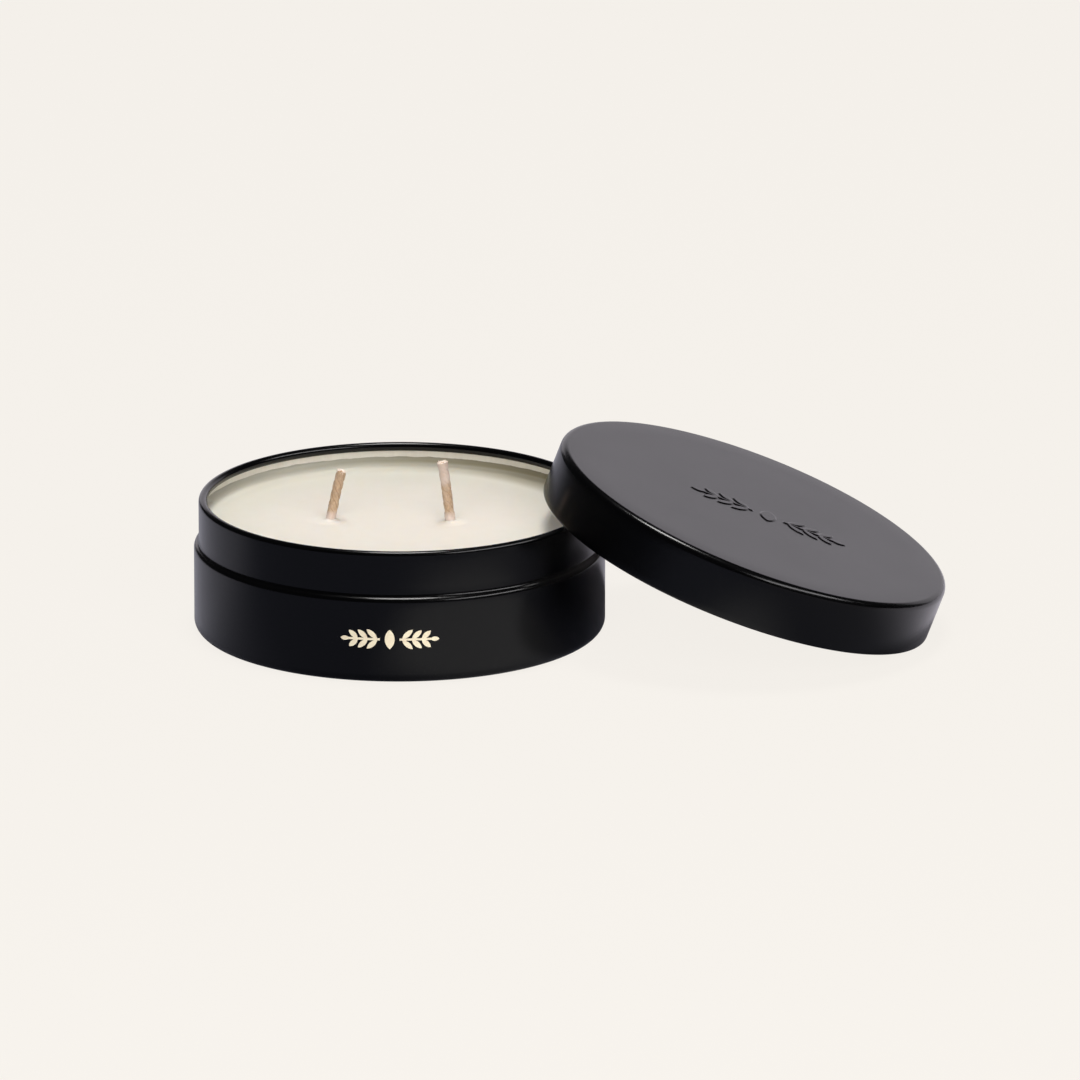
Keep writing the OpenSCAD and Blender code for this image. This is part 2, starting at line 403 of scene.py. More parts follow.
def patch_disc(b, height, loops, cx, half_x, half_y, step, kind=0):
    """A fine rectangular patch centred on (cx, 0), with rings of faces from it out to circles.

    height(x, y) gives each point's z. loops lists the circles' radii. Returns the last
    circle's points, counted anticlockwise, and the angles they lie at.
    """
    xs = [cx + x for x in patch_axis(half_x, step)]
    ys = patch_axis(half_y, step)
    rows = [[b.add((x, y, height(x, y))) for x in xs] for y in ys]
    b.grid(rows, kind)
    nx, ny = len(xs) - 1, len(ys) - 1
    edge = [rows[j][nx] for j in range(ny)]
    edge += [rows[ny][nx - i] for i in range(nx)]
    edge += [rows[ny - j][0] for j in range(ny)]
    edge += [rows[0][i] for i in range(nx)]
    angles = circle(len(edge), -math.pi * ny / len(edge))

    first = loops[0]
    rings = []
    for k in range(1, PATCH_SPREAD + 1):
        t = k / PATCH_SPREAD
        points = []
        for i, a in zip(edge, angles):
            x, y, _ = b.verts[i]
            points.append((x + (first * math.cos(a) - x) * t, y + (first * math.sin(a) - y) * t))
        rings.append(points)
    for r in loops[1:]:
        rings.append([(r * math.cos(a), r * math.sin(a)) for a in angles])

    last = edge
    for points in rings:
        ring = b.ring([(x, y, height(x, y)) for x, y in points])
        b.bridge(last, ring, kind)
        last = ring
    return last, angles


def turned(b, profile, angles, last=None, kinds=None):
    """A ring at each (r, z) of the profile, the first one joined to last if that is given.

    kinds has one entry for each ring, for the band that leads to it. Returns the last ring.
    """
    for i, (r, z) in enumerate(profile):
        ring = b.ring([(r * math.cos(a), r * math.sin(a), z) for a in angles])
        if last is not None:
            b.bridge(last, ring, kinds[i] if kinds else 0)
        last = ring
    return last


def shell_profile(outside, inside):
    """One profile from a shell's two sides, with the kind of each ring's band."""
    return outside + inside, [LACQUERED] * len(outside) + [BARE] * len(inside)


# ================================================================ material helpers


class Nodes:
    """A short way to write a material's node tree."""

    def __init__(self, name):
        self.material = bpy.data.materials.new(name)
        self.material.use_nodes = True
        self.tree = self.material.node_tree
        self.tree.nodes.clear()
        self.out = self.add("ShaderNodeOutputMaterial")
        self.shader = self.add("ShaderNodeBsdfPrincipled")
        self.link(self.shader.outputs[0], self.out.inputs["Surface"])
        self.where = self.add("ShaderNodeTexCoord").outputs["Object"]

    def add(self, kind, **settings):
        node = self.tree.nodes.new(kind)
        for k, v in settings.items():
            setattr(node, k, v)
        return node

    def link(self, a, b):
        self.tree.links.new(a, b)

    def put(self, socket, value):
        """Links a socket to another one, or gives it a constant."""
        if isinstance(value, bpy.types.NodeSocket):
            self.link(value, socket)
        else:
            socket.default_value = value

    def set(self, **values):
        """Sets or links the shader's own sockets."""
        for k, v in values.items():
            self.put(self.shader.inputs[k.replace("_", " ")], v)

    def stretched(self, scale):
        m = self.add("ShaderNodeMapping")
        self.link(self.where, m.inputs["Vector"])
        m.inputs["Scale"].default_value = scale
        return m.outputs["Vector"]

    def noise(self, scale, detail, rough=0.5):
        """Noise of one size, or stretched if scale has three numbers."""
        n = self.add("ShaderNodeTexNoise")
        if isinstance(scale, tuple):
            self.link(self.stretched(scale), n.inputs["Vector"])
            scale = 1
        else:
            self.link(self.where, n.inputs["Vector"])
        n.inputs["Scale"].default_value = scale
        n.inputs["Detail"].default_value = detail
        n.inputs["Roughness"].default_value = rough
        return n.outputs["Fac"]

    def cells(self, scale):
        n = self.add("ShaderNodeTexVoronoi")
        self.link(self.where, n.inputs["Vector"])
        n.inputs["Scale"].default_value = scale
        return n.outputs["Distance"]

    def ramp(self, value, stops):
        """stops: [(position, colour or number), ...]"""
        r = self.add("ShaderNodeValToRGB")
        self.link(value, r.inputs["Fac"])
        e = r.color_ramp.elements
        while len(e) < len(stops):
            e.new(0.5)
        for el, (pos, col) in zip(e, stops):
            el.position = pos
            el.color = (col, col, col, 1) if isinstance(col, (int, float)) else (*col, 1)
        return r.outputs["Color"]

    def tones(self, value, pair, reach=MOST):
        """From the pair's first colour to its second, as the value crosses its reach."""
        return self.ramp(value, list(zip(reach, pair)))

    def span(self, value, old, new, smooth=False):
        """The value, moved from one range to another and kept inside it."""
        m = self.add("ShaderNodeMapRange")
        if smooth:
            m.interpolation_type = "SMOOTHSTEP"
        self.link(value, m.inputs["Value"])
        for k, v in zip(("From Min", "From Max", "To Min", "To Max"), (*old, *new)):
            m.inputs[k].default_value = v
        return m.outputs["Result"]

    def zone(self, length, reach, new=(0, 1), smooth=False):
        """A span over a reach in millimetres."""
        return self.span(length, [v * MM for v in reach], new, smooth)

    def math(self, op, a, b=None):
        m = self.add("ShaderNodeMath", operation=op)
        self.put(m.inputs[0], a)
        if b is not None:
            self.put(m.inputs[1], b)
        return m.outputs[0]

    def times(self, a, b):
        return self.math("MULTIPLY", a, b)

    def plus(self, a, b):
        return self.math("ADD", a, b)

    def blend(self, a, b, share):
        """a and b added, with this share of a and the rest of b."""
        return self.plus(self.times(a, share), self.times(b, 1 - share))

    def mix(self, factor, a, b):
        """Between two colours."""
        m = self.add("ShaderNodeMix", data_type="RGBA")
        self.put(m.inputs[0], factor)
        for socket, v in ((m.inputs[6], a), (m.inputs[7], b)):
            self.put(socket, (*v, 1.0) if isinstance(v, tuple) else v)
        return m.outputs[2]

    def parts(self):
        s = self.add("ShaderNodeSeparateXYZ")
        self.link(self.where, s.inputs[0])
        return s.outputs[0], s.outputs[1], s.outputs[2]

    def radius(self):
        """Distance from the tin's axis, in metres."""
        x, y, _ = self.parts()
        return self.math("SQRT", self.plus(self.times(x, x), self.times(y, y)))

    def bump(self, height, strength, distance, after=None):
        """A bump with its distance in millimetres, on top of another one if that is given."""
        n = self.add("ShaderNodeBump")
        self.link(height, n.inputs["Height"])
        n.inputs["Strength"].default_value = strength
        n.inputs["Distance"].default_value = distance * MM
        if after is not None:
            self.link(after, n.inputs["Normal"])
        return n.outputs["Normal"]


def camera_switch(tree, out, elsewhere, to_camera):
    """Shows one shader to the camera and the other one to all other rays."""
    path = tree.nodes.new("ShaderNodeLightPath")
    pick = tree.nodes.new("ShaderNodeMixShader")
    tree.links.new(path.outputs["Is Camera Ray"], pick.inputs[0])
    tree.links.new(elsewhere.outputs[0], pick.inputs[1])
    tree.links.new(to_camera.outputs[0], pick.inputs[2])
    tree.links.new(pick.outputs[0], out.inputs["Surface"])


def around_tint(tint, darker, lighter):
    """A darker and a lighter tone of one tint."""
    return tuple(c * darker for c in tint), tuple(min(1, c * lighter) for c in tint)


# ================================================================ materials


def lacquer_material(name, roughness):
    """Satin black lacquer: fine orange peel, faint drawing lines, soft changes of gloss."""
    n = Nodes(name)
    blotch = n.noise(scale=55, detail=4)
    lines = n.noise(scale=(900, 900, 40), detail=3)
    grain = n.noise(scale=2600, detail=2)
    peel = n.bump(n.noise(scale=420, detail=3), strength=0.03, distance=0.04)
    n.set(
        Base_Color=n.mix(n.span(blotch, MOST, (0, 1)), LACQUER, LACQUER_LIGHT),
        Roughness=n.span(n.blend(blotch, lines, 0.6), MOST, roughness),
        IOR=LACQUER_IOR,
        Normal=n.bump(grain, strength=0.015, distance=0.01, after=peel),
    )
    return n.material


def tinplate_material():
    """Bare tinplate inside the tin and lid: pale, slightly mottled, with fine drawing lines."""
    n = Nodes("tinplate")
    lines = n.noise(scale=(1100, 1100, 60), detail=3)
    both = n.blend(n.noise(scale=160, detail=4, rough=0.6), lines, 0.5)
    n.set(
        Base_Color=n.tones(both, TINPLATE),
        Metallic=0.6,
        Roughness=n.span(both, MOST, (0.32, 0.46)),
        Normal=n.bump(lines, strength=0.12, distance=0.03),
    )
    return n.material


def wax_material():
    """Cream wax: warm in the middle, cooler outwards; darker in the film up the wall, partly its
    own thin-wax tone and partly painted shade, and painted shade below the back rim.
    """
    n = Nodes("cream_wax")
    x, y, z = n.parts()
    r = n.radius()
    cool = n.times(n.zone(r, COOL_R, smooth=True), COOL_SHARE)
    cool = n.plus(cool, n.span(n.noise(scale=70, detail=4, rough=0.6), MID, COOL_CLOUDS))
    # the film's dark tone is partly thin wax over metal and partly painted shade, deeper towards +X
    thin_film_shade = n.zone(z, THIN_Z, smooth=True)
    thin_film_shade = n.times(thin_film_shade, n.zone(x, THIN_SHADE_X, THIN_SHADE_SHARE, smooth=True))
    # painted shade of the back rim on the wax
    rear_shade = n.times(n.zone(y, REAR_SHADE_Y), n.zone(x, REAR_SHADE_X, REAR_SHADE_SHARE))
    rear_shade = n.times(rear_shade, n.zone(r, REAR_SHADE_R, smooth=True))
    shade = n.math("MAXIMUM", thin_film_shade, rear_shade)
    grain = n.noise(scale=900, detail=3)
    soft = n.bump(n.noise(scale=120, detail=3), strength=0.12, distance=0.20)
    n.set(
        Base_Color=n.mix(shade, n.mix(cool, WAX_WARM, WAX_COOL), WAX_THIN_AND_SHADE),
        Roughness=n.span(n.noise(scale=300, detail=3), MOST, (0.42, 0.56)),
        IOR=WAX_IOR,
        Subsurface_Weight=0.35,
        Subsurface_Radius=WAX_SCATTER,
        Subsurface_Scale=1.0,
        Normal=n.bump(grain, strength=0.08, distance=0.04, after=soft),
    )
    return n.material


def wick_material(name, tint, pale_from):
    """Waxed cotton: paler and pinker where wax has soaked in, fine fibres along the strands."""
    n = Nodes(name)
    _, _, z = n.parts()
    fibre = n.noise(scale=(5200, 5200, 1500), detail=3)
    foot = n.zone(z, PALE_FOOT_Z, PALE_FOOT, smooth=True)
    head = n.zone(z, (pale_from, pale_from + PALE_HEAD_H), PALE_HEAD, smooth=True)
    pale = n.math("MAXIMUM", foot, head)
    pale = n.plus(pale, n.span(n.noise(scale=520, detail=3), MID, PALE_PATCHES))
    n.set(
        Base_Color=n.mix(pale, n.tones(fibre, around_tint(tint, 0.82, 1.22)), WICK_PALE),
        Roughness=n.span(fibre, MOST, (0.6, 0.85)),
        Subsurface_Weight=0.15,
        Subsurface_Radius=WICK_SCATTER,
        Subsurface_Scale=1.0,
        Normal=n.bump(fibre, strength=0.35, distance=0.06),
    )
    return n.material


def wick_end_material():
    """The cut end: white waxed fibres with warm flecks."""
    n = Nodes("wick_cut_end")
    fleck = n.noise(scale=2600, detail=3, rough=0.6)
    n.set(
        Base_Color=n.tones(fleck, WICK_CUT, (0.34, 0.50)),
        Roughness=0.7,
        Normal=n.bump(fleck, strength=0.3, distance=0.05),
    )
    return n.material


def core_material():
    n = Nodes("wick_core_thread")
    fibre = n.noise(scale=(7000, 7000, 900), detail=2)
    n.set(
        Base_Color=n.tones(fibre, CORE_THREAD),
        Roughness=0.85,
        Normal=n.bump(fibre, strength=0.4, distance=0.05),
    )
    return n.material


def foil_material():
    """Hot-stamped pale gold foil, with a slightly uneven press."""
    n = Nodes("gold_foil")
    press = n.noise(scale=900, detail=3, rough=0.6)
    n.set(
        Base_Color=n.tones(press, around_tint(GOLD, 0.88, 1.1)),
        Metallic=0.1,
        Roughness=n.span(press, MOST, (0.30, 0.48)),
        Normal=n.bump(press, strength=0.15, distance=0.03),
    )
    return n.material


def paper_material():
    n = Nodes("label_paper")
    fibre = n.noise(scale=1500, detail=4, rough=0.65)
    n.set(
        Base_Color=n.tones(fibre, PAPER),
        Roughness=0.8,
        Normal=n.bump(fibre, strength=0.2, distance=0.03),
    )
    return n.material


def sustainer_material():
    n = Nodes("sustainer_steel")
    rub = n.noise(scale=(300, 2600, 300), detail=3)
    n.set(
        Base_Color=n.tones(rub, STEEL),
        Metallic=1.0,
        Roughness=n.span(rub, MOST, (0.25, 0.42)),
        Normal=n.bump(rub, strength=0.1, distance=0.02),
    )
    return n.material


def foam_material():
    n = Nodes("pad_foam")
    cells = n.cells(3200)
    n.set(
        Base_Color=n.tones(cells, FOAM, (0.0, 0.6)),
        Roughness=0.9,
        Normal=n.bump(cells, strength=0.5, distance=0.08),
    )
    return n.material


def floor_material():
    """A plain pale floor with very faint shadows. It shows darker in the lacquer than it is: to all
    rays but the camera's it is painted, dark in front with a painted shadow of the lid under it,
    lighter behind, and with a painted pool of light at the front right.
    """
    n = Nodes("floor_cream")
    n.tree.nodes.remove(n.shader)
    glow = n.add("ShaderNodeEmission")
    glow.inputs["Color"].default_value = (*FLOOR_COLOUR, 1)
    glow.inputs["Strength"].default_value = 1 - FLOOR_SHADOW
    soft = n.add("ShaderNodeBsdfDiffuse")
    soft.inputs["Color"].default_value = (*(c * FLOOR_SHADOW for c in FLOOR_COLOUR), 1)
    both = n.add("ShaderNodeAddShader")
    n.link(glow.outputs[0], both.inputs[0])
    n.link(soft.outputs[0], both.inputs[1])

    x, y, _ = n.parts()
    # painted shadow of the lid: the dark front tone reaches further back under it
    shade_edge = n.ramp(n.zone(x, SHADE_EDGE_X), SHADE_EDGE_STOPS)
    ahead = n.math("SUBTRACT", y, n.span(shade_edge, (0, 1), [v * MM for v in SHADE_EDGE_Y]))
    front = n.mix(n.zone(x, FRONT_X), FLOOR_FRONT, FLOOR_FRONT_RIGHT)
    back = n.mix(n.zone(x, BACK_X), FLOOR_BACK_LEFT, FLOOR_BACK_RIGHT)
    ground = n.mix(n.zone(ahead, BACK_Y, smooth=True), front, back)
    # painted pool of light at the front right
    away = n.add("ShaderNodeVectorMath", operation="DISTANCE")
    n.link(n.stretched((LIGHT_POOL_SQUASH, 1.0, 1.0)), away.inputs[0])
    away.inputs[1].default_value = (LIGHT_POOL_X * LIGHT_POOL_SQUASH * MM, LIGHT_POOL_Y * MM, 0.0)
    light_pool = n.zone(away.outputs["Value"], LIGHT_POOL_REACH, smooth=True)
    painted_bounce = n.add("ShaderNodeBsdfDiffuse")
    n.link(n.mix(light_pool, ground, FLOOR_LIGHT_POOL), painted_bounce.inputs["Color"])
    camera_switch(n.tree, n.out, painted_bounce, both)
    return n.material


# ================================================================ the tin


def shoulder(inset):
    """The shoulder's two curves from the drum up to the neck, moved inwards by inset."""
    step = BODY_R - NECK_R
    total = (step * step + SHOULDER_H * SHOULDER_H) / (2 * step)
    in_r = total - SHOULDER_OUT_R
    out_x, in_x = BODY_R - SHOULDER_OUT_R, NECK_R + in_r
    lean = math.degrees(math.atan2(SHOULDER_H, in_x - out_x))
    rise = arc(out_x, SHOULDER_Z, SHOULDER_OUT_R - inset, 0, lean, steps=10)
    turn = arc(in_x, SHOULDER_Z + SHOULDER_H, in_r + inset, 180 + lean, 180, steps=10)
    return rise + turn[1:]


def tin_profiles():
    """The drawn shell's outside, from the base panel to the end of the curl, and inside, back."""
    rim_x, rim_z = NECK_R - RIM_R, TIN_H - RIM_R
    corner_x = BODY_R - CORNER_R
    neck_z = SHOULDER_Z + SHOULDER_H
    outside = [(PANEL_R + past, z) for past, z in PANEL_EDGE]
    outside += arc(corner_x, CORNER_R, CORNER_R, -90, 0, steps=14)
    outside += line((BODY_R, CORNER_R), (BODY_R, SHOULDER_Z), steps=12)
    outside += shoulder(0)
    outside += line((NECK_R, neck_z), (NECK_R, rim_z), steps=6)
    outside += arc(rim_x, rim_z, RIM_R, 0, RIM_CURL, steps=44)
    inside = arc(rim_x, rim_z, RIM_R - SHEET, RIM_CURL, 0, steps=30)
    inside += line((WALL_R, rim_z), (WALL_R, neck_z), steps=6)
    inside += shoulder(SHEET)[::-1]
    inside += line((BODY_R - SHEET, SHOULDER_Z), (BODY_R - SHEET, CORNER_R), steps=6)
    inside += arc(corner_x, CORNER_R, CORNER_R - SHEET, 0, -90, steps=10)
    inside += [(PANEL_R + past, z) for past, z in PANEL_EDGE_IN]
    return outside, inside


def build_tin(lacquer, plate):
    b = Builder()
    profile, kinds = shell_profile(*tin_profiles())
    last = turned(b, profile, circle(SEGMENTS), kinds=kinds)
    first = list(range(SEGMENTS))
    b.cap(first, (0, 0, PANEL_H), LACQUERED)
    b.cap(last, (0, 0, FLOOR_Z), BARE)
    obj = mesh_object("tin_drawn_body", b, "tin", [lacquer, plate])
    sharpen(obj, SHARP)
    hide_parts("tin_body")


# ================================================================ the lid


def lid_matrix():
    """The lid's leaning place: hem on the floor plane, hem across the rim at two points."""
    hem_x = BODY_R - HEM_R
    s, c = math.sin(LID_TILT), math.cos(LID_TILT)
    lid_z = hem_x * s - HEM_R * c + HEM_R
    up = TIN_H - RIM_R + (HEM_R + RIM_R + LEAN_GAP) / c - lid_z - HEM_R * c
    cross = up / (hem_x * s)
    y = hem_x * math.sqrt(1 - cross * cross)
    reach = math.sqrt((NECK_R - RIM_R) ** 2 - y * y)
    lid_x = hem_x * c * cross - HEM_R * s + reach
    place = Matrix.Translation(Vector((lid_x, 0, lid_z)) * MM)
    return Matrix.Rotation(LID_TURN, 4, "Z") @ place @ Matrix.Rotation(LID_TILT, 4, "Y")


def leaf_distance(x, y, cx, cy, turn, length, width):
    """Signed distance to a pointed leaf, negative inside."""
    c, s = math.cos(turn), math.sin(turn)
    px = (x - cx) * c + (y - cy) * s
    py = -(x - cx) * s + (y - cy) * c
    r = (length * length + width * width) / (4 * width)
    off = r - width / 2
    return max(math.hypot(px, py - off), math.hypot(px, py + off)) - r


def ornament_distance(x, y):
    """Signed distance to the flame between two leafy branches."""
    d = leaf_distance(x, y, 0, 0, math.pi / 2, FLAME_L, FLAME_W)
    x = abs(x)
    if x < CLEAR_OF_FLAME:
        return d
    d = min(d, max(abs(x - STEM_X) - STEM_HALF, abs(y) - STEM_T))
    d = min(d, leaf_distance(x, y, BUD_X, 0, 0, BUD_L, BUD_W))
    for i in range(LEAVES):
        half = LEAF_HALF - LEAF_SHRINK * i
        cx = LEAF_X + LEAF_STEP * i
        cy = LEAF_Y + half * math.sin(LEAF_TURN)
        d = min(d, leaf_distance(x, abs(y), cx, cy, LEAF_TURN, 2 * half, LEAF_W))
    return d


def relief(x, y):
    """How far the lid's sheet is pushed up at a point, with soft edges."""
    k = RELIEF_W / ORNAMENT_W
    d = ornament_distance((x - RELIEF_X) / k, y / k) * k
    t = min(1, max(0, 0.5 - d / RELIEF_SOFT))
    return RELIEF_H * t * t * (3 - 2 * t)


def lid_plate(b, z, kind):
    """One face of the lid's top sheet, with the relief."""
    loops = (*LID_LOOPS, BODY_R - LID_EDGE_R)
    half_x = RELIEF_W / 2 + RELIEF_MARGIN
    return patch_disc(
        b, lambda x, y: z + relief(x, y), loops, RELIEF_X, half_x, RELIEF_HALF_Y, RELIEF_STEP, kind
    )


def lid_profiles():
    """The lid's wall: the outside down to the end of the rolled hem, and the inside, back."""
    flat_r = BODY_R - LID_EDGE_R
    edge_z = LID_H - LID_EDGE_R
    hem_x = BODY_R - HEM_R
    outside = arc(flat_r, edge_z, LID_EDGE_R, 90, 0, steps=14)[1:]
    outside += line((BODY_R, edge_z), (BODY_R, HEM_R), steps=8)
    outside += arc(hem_x, HEM_R, HEM_R, 0, -HEM_CURL, steps=30)
    inside = arc(hem_x, HEM_R, HEM_R - SHEET, -HEM_CURL, 0, steps=20)
    inside += line((BODY_R - SHEET, HEM_R), (BODY_R - SHEET, edge_z), steps=8)
    inside += arc(flat_r, edge_z, LID_EDGE_R - SHEET, 0, 90, steps=10)[:-1]
    return outside, inside


def build_lid(lacquer, plate):
    b = Builder()
    over, angles = lid_plate(b, LID_H, LACQUERED)
    profile, kinds = shell_profile(*lid_profiles())
    last = turned(b, profile, angles, over, kinds)
    under, _ = lid_plate(b, LID_H - SHEET, BARE)
    b.bridge(last, under, BARE)
    obj = mesh_object("lid_drawn_cap", b, "lid", [lacquer, plate])
    obj.data.transform(lid_matrix())
    sharpen(obj, SHARP)
    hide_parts("lid_shell")


# ================================================================ the wicks


def wick_frame(w, s):
    """Centre, outward direction in XZ and tangent of a wick at arc length s."""
    a = s / w["bend"]
    off = w["bend"] * (1 - math.cos(a)) * w["side"]
    centre = Vector((w["foot"] + off, 0, DISC_Z + w["bend"] * math.sin(a)))
    tangent = Vector((math.sin(a) * w["side"], 0, math.cos(a)))
    across = Vector((math.cos(a), 0, -math.sin(a) * w["side"]))
    return centre, across, tangent


def wick_length(w, z):
    """Arc length from the foot up to a height."""
    return w["bend"] * math.asin((z - DISC_Z) / w["bend"])


def around_wick(centre, across, r, a):
    """A point at distance r from the wick's centre, at angle a round it."""
    return centre + across * (r * math.cos(a)) + Vector((0, 1, 0)) * (r * math.sin(a))


def wave(amount, *place):
    """Smooth noise at a place, up to about the amount either way."""
    return amount * noise.noise(Vector(place))


def braid(theta, s):
    """Height of a plaited sleeve's surface, 0 to 1: strands that cross over and under."""
    u = STRANDS * (theta / TAU + s / BRAID_PITCH)
    v = STRANDS * (theta / TAU - s / BRAID_PITCH)
    a, c = math.sin(math.pi * u), math.sin(math.pi * v)
    over = 0.5 + 0.5 * math.tanh(BRAID_CROSSING * a * c)
    under = BRAID_UNDER + (1 - BRAID_UNDER) * abs(c) ** BRAID_ROUND
    return over * abs(a) ** BRAID_ROUND + (1 - over) * under


def sleeve_stations(length, dry):
    """Arc lengths of the sleeve's rings: a few inside the wax, and fine ones above dry."""
    fine = int((length - dry) / SLEEVE_STEP)
    out = [dry * i / SLEEVE_STEPS_IN_WAX for i in range(SLEEVE_STEPS_IN_WAX)]
    return out + [dry + (length - dry) * i / fine for i in range(fine + 1)]


def sleeve_wall(b, w, length, angles):
    """The plaited wall from the foot to the cut end. Returns its last ring."""
    seed = w["seed"]
    dry = WAX_Z - SOAK_DEPTH - DISC_Z
    heights = {}
    last = None
    for s in sleeve_stations(length, dry):
        centre, across, tangent = wick_frame(w, s)
        left = length - s
        flare = w["flare"] * math.exp(-left / FLARE_FADE)
        soaked = SOAK * math.exp(-max(0, s - dry - SOAK_DEPTH) / SOAK_FADE)
        wobble = wave(WOBBLE, s * WOBBLE_RATE, seed, 0)
        ring = []
        for a in angles:
            c, d = math.cos(a), math.sin(a)
            grain = wave(GRAIN, c * GRAIN_AROUND, d * GRAIN_AROUND, s * GRAIN_ALONG + seed)
            end = wave(CUT_ROUGH, c * CUT_RATE, d * CUT_RATE, seed * 2.1)
            end *= max(0, 1 - left / CUT_REACH)
            h = braid(a, s + wave(STRAY, c, d, s * STRAY_RATE + seed))
            r = WICK_R * (SLEEVE_BASE + flare + soaked + wobble + grain)
            r += BRAID_DEPTH * (h - BRAID_LEVEL)
            i = b.add(around_wick(centre, across, r, a) + tangent * end)
            heights[i] = h
            ring.append(i)
        if last:
            b.bridge(last, ring, COTTON)
        else:
            b.cap(ring, centre, COTTON)
        last = ring
    # faces in the grooves get the darker material: painted groove shade
    for k, f in enumerate(b.faces):
        if sum(heights.get(i, 1) for i in f) / len(f) < GROOVE:
            b.kinds[k] = SHADED_GROOVES
    return last


def sleeve_end(b, w, length, angles, last):
    """The cut end, in to the core."""
    centre, across, tangent = wick_frame(w, length)
    for r, rise in CUT_RINGS:
        ring = []
        for a in angles:
            x, y = math.cos(a) * RIDGE_AROUND, math.sin(a) * RIDGE_AROUND
            ridge = wave(CUT_RIDGE, x, y, r * RIDGE_INWARDS + w["seed"])
            ring.append(b.add(around_wick(centre, across, r, a) + tangent * (rise + ridge)))
        b.bridge(last, ring, CUT)
        last = ring
    b.cap(last, centre - tangent * CUT_DEPTH, CUT)


def tube(b, points, radius, around=6, kind=0):
    """A closed round thread through the points, which tapers at its last one."""
    last = None
    for i, p in enumerate(points):
        d = (points[min(i + 1, len(points) - 1)] - points[max(i - 1, 0)]).normalized()
        u = d.orthogonal().normalized()
        v = d.cross(u)
        r = radius * (THREAD_TIP if i == len(points) - 1 else 1)
        ring = b.ring([p + u * (r * math.cos(t)) + v * (r * math.sin(t)) for t in circle(around)])
        if last:
            b.bridge(last, ring, kind)
        else:
            b.face(ring[::-1], kind)
        last = ring
    b.face(last, kind)


def drawn(rng, least_and_spread):
    """A random number from the least one up."""
    least, spread = least_and_spread
    return least + spread * rng.random()


def cut_fibre(b, rng, w, length):
    """One cotton fibre that stands out of the cut end."""
    centre, across, tangent = wick_frame(w, length)
    reach = drawn(rng, FIBRE_REACH)
    radius = drawn(rng, FIBRE_R)
    a = rng.random() * TAU
    r = WICK_R * drawn(rng, FIBRE_PLACE)
    bend = drawn(rng, FIBRE_BEND)
    points = []
    for k in range(FIBRE_POINTS):
        t = k / (FIBRE_POINTS - 1)
        p = around_wick(centre, across, r + bend * t * t * 0.5, a + FIBRE_TWIST * t)
        points.append(p + tangent * (reach * t - FIBRE_ROOT))
    tube(b, points, radius, kind=CUT)


def build_sleeve(side, materials):
    """The plaited sleeve. Its materials are strands, the grooves between them with painted shade,
    and cut ends.
    """
    w = WICKS[side]
    rng = random.Random(w["seed"])
    length = wick_length(w, w["top"])
    angles = circle(SLEEVE_AROUND)
    b = Builder()
    last = sleeve_wall(b, w, length, angles)
    sleeve_end(b, w, length, angles, last)
    for _ in range(FIBRES):
        cut_fibre(b, rng, w, length)
    obj = mesh_object("wick_braid_" + side, b, "tin", materials)
    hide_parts("wick_sleeve_" + side)


def build_core(side, material):
    """The core: three plies twisted round each other."""
    w = WICKS[side]
    length = wick_length(w, w["top"])
    b = Builder()
    for ply in range(CORE_PLIES):
        points = []
        for k in range(CORE_STEPS + 1):
            s = length * k / CORE_STEPS
            centre, across, tangent = wick_frame(w, s)
            a = TAU * ply / CORE_PLIES + s * CORE_TWIST
            points.append(around_wick(centre, across, PLY_PLACE, a) - tangent * CORE_SUNK)
        tube(b, points, PLY_R, around=10)
    obj = mesh_object("wick_thread_" + side, b, "tin", [material])
    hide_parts("wick_core_" + side)


# ================================================================ the wax


def wick_at_surface(w):
    """A wick's centre where it comes out of the wax."""
    return wick_frame(w, wick_length(w, WAX_Z))[0]


def wax_height(x, y):
    """The wax surface: almost flat, with a collar, a low swell and shallow dips at each wick."""
    z = WAX_Z
    for amount, rate, seed in WAX_WAVES:
        z += wave(amount, x * rate, y * rate, seed)
    for w in WICKS.values():
        c = wick_at_surface(w)
        dx, dy = x - c.x, y - c.y
        d = math.hypot(dx, dy)
        ragged = 1 + wave(COLLAR_RAGGED, dx * COLLAR_RATE, dy * COLLAR_RATE, COLLAR_SEED + c.x)
        z += COLLAR_H * ragged * math.exp(-max(0, d - WICK_R) / COLLAR_FADE)
        z += SWELL_H * math.exp(-((d - SWELL_R) / SWELL_W) ** 2)
        clear = 1 - math.exp(-(d / DIP_CLEAR) ** 2)
        for ox, oy, depth, size in DIPS:
            away = (dx - ox) ** 2 + (dy - oy) ** 2
            z -= depth * math.exp(-away / (2 * size * size)) * clear
    return z


def film_top(a):
    """Ragged upper edge of the wax film on the wall, by direction."""
    c, s = math.cos(a), math.sin(a)
    z = FILM_TOP
    for amount, rate, seed in FILM_WAVES:
        z += wave(amount, c * rate, s * rate, seed)
    amount, rate, seed = FILM_TEETH
    return z + abs(wave(amount, c * rate, s * rate, seed))


def wall_ring(b, last, angles, r, heights):
    """A ring with its own height in each direction, joined to the last one."""
    ring = b.ring([(r * math.cos(a), r * math.sin(a), z) for a, z in zip(angles, heights)])
    b.bridge(last, ring)
    return ring


def wax_cup():
    """The wax's side and base, from below the neck to the base panel, just inside the tin."""
    inset = SHEET + WAX_GAP
    cup = shoulder(inset)[::-1]
    cup += arc(BODY_R - CORNER_R, CORNER_R, CORNER_R - inset, 0, -90, steps=8)
    return cup + [(PANEL_R + past, z + WAX_GAP) for past, z in PANEL_EDGE_IN]


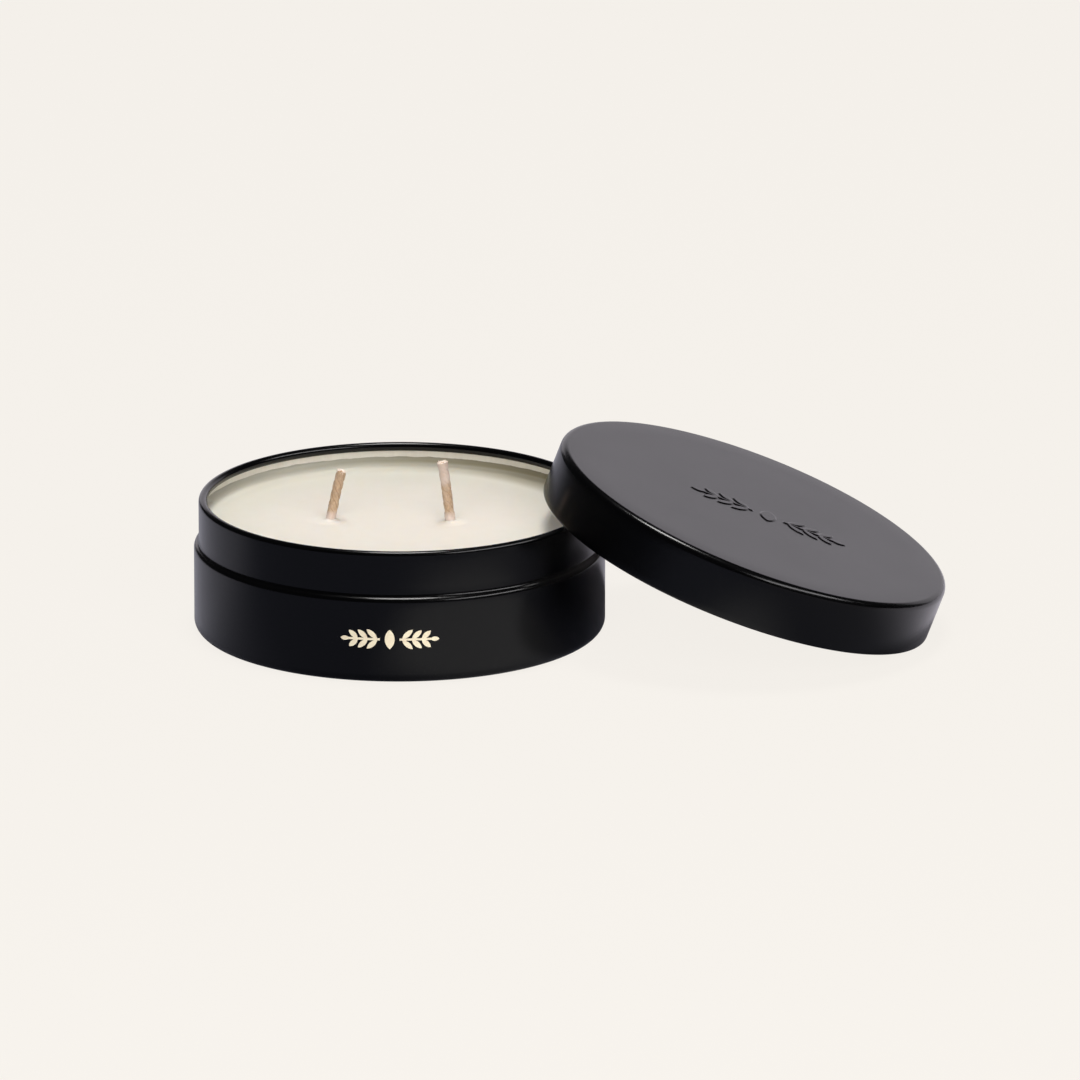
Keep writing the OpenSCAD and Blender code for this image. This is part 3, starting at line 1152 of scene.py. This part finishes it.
def build_wax(material):
    b = Builder()
    last, angles = patch_disc(b, wax_height, WAX_LOOPS, **WAX_PATCH)
    edge = [b.verts[i][2] for i in last]
    for d in MENISCUS_RINGS:
        lift = (MENISCUS_R - FILM_BELOW) * math.exp(-(d - MENISCUS_RINGS[-1]) / MENISCUS_FADE)
        last = wall_ring(b, last, angles, WALL_R - d, [z + lift for z in edge])
    low = [b.verts[i][2] for i in last]
    top = [film_top(a) for a in angles]
    for t in FILM_RINGS:
        thin = FILM_THINNED * max(0, t - FILM_THIN_FROM) / (1 - FILM_THIN_FROM)
        heights = [z + (end - z) * t for z, end in zip(low, top)]
        last = wall_ring(b, last, angles, WALL_R - FILM_T * (1.0 - thin), heights)
    last = wall_ring(b, last, angles, WALL_R - WAX_GAP, [z - FILM_LIP for z in top])
    last = turned(b, wax_cup(), angles, last)
    b.cap(last, (0, 0, FLOOR_Z + WAX_GAP))
    obj = mesh_object("wax_poured", b, "tin", [material])
    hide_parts("wax_fill")


# ================================================================ CAD nodes that stay


def dress(node, material):
    """Gives a CAD node that stays in view a better material."""
    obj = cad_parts[node]
    if not obj.data.materials:
        obj.data.materials.append(material)
    for s in obj.material_slots:
        s.material = material


# ================================================================ studio


def area(name, place, aim, size, power, colour):
    """A softbox. Its width runs level."""
    light = bpy.data.lights.new(name, "AREA")
    light.shape = "RECTANGLE"
    light.size, light.size_y = size
    light.energy = power
    light.color = colour
    obj = linked(name, light)
    obj.location = place
    obj.rotation_euler = (Vector(aim) - Vector(place)).to_track_quat("-Z", "Y").to_euler()
    obj.visible_camera = False
    return obj


def build_floor():
    h = FLOOR_HALF * MM
    corners = [(-h, -h, 0), (h, -h, 0), (h, h, 0), (-h, h, 0)]
    mesh = bpy.data.meshes.new("floor")
    mesh.from_pydata(corners, [], [(0, 1, 2, 3)])
    mesh.materials.append(floor_material())
    floor = linked("floor", mesh)


def build_lights():
    """The fill gives no highlight of its own, and the right strip gives nothing but highlights."""
    lights = {name: area(name, **spec) for name, spec in LIGHTS.items()}
    lights["front_fill"].visible_glossy = False
    lights["right_strip"].visible_diffuse = False


def build_world():
    """The floor's colour to the camera, and almost dark to everything else."""
    world = bpy.data.worlds.new("studio")
    bpy.context.scene.world = world
    world.use_nodes = True
    t = world.node_tree
    t.nodes.clear()
    out = t.nodes.new("ShaderNodeOutputWorld")
    seen = t.nodes.new("ShaderNodeBackground")
    seen.inputs["Color"].default_value = (*FLOOR_COLOUR, 1)
    felt = t.nodes.new("ShaderNodeBackground")
    felt.inputs["Color"].default_value = (*WORLD_DIM, 1)
    camera_switch(t, out, felt, seen)


def show_plain_colours():
    settings = bpy.context.scene.view_settings
    settings.view_transform = "Standard"
    settings.look = "None"


def build_camera():
    data = bpy.data.cameras.new("camera")
    data.sensor_width = VIEW_SENSOR
    data.lens = VIEW_LENS
    data.clip_start, data.clip_end = VIEW_CLIP
    cam = linked("camera", data)
    level = math.cos(VIEW_ELEVATION)
    back = Vector((
        math.sin(VIEW_AZIMUTH) * level, -math.cos(VIEW_AZIMUTH) * level, math.sin(VIEW_ELEVATION)
    ))
    cam.location = VIEW_TARGET + back * VIEW_DISTANCE
    cam.rotation_euler = (-back).to_track_quat("-Z", "Y").to_euler()
    bpy.context.scene.camera = cam


# ================================================================ build

build_camera()
build_floor()
build_lights()
build_world()
show_plain_colours()

plate = tinplate_material()
build_tin(lacquer_material("lacquer_tin", TIN_GLOSS), plate)
build_lid(lacquer_material("lacquer_lid", LID_GLOSS), plate)
build_wax(wax_material())
core_stuff = core_material()
cut = wick_end_material()
for side, w in WICKS.items():
    cotton = wick_material("wick_cotton_" + side, WICK_TAN, w["pale_from"])
    groove_shade = wick_material("wick_groove_shade_" + side, WICK_GROOVE_SHADE, w["pale_from"])
    build_sleeve(side, [cotton, groove_shade, cut])
    build_core(side, core_stuff)

dress("front_emblem", foil_material())
dress("base_label", paper_material())
steel, foam = sustainer_material(), foam_material()
for side in WICKS:
    dress("sustainer_" + side, steel)
    dress("pad_" + side, foam)
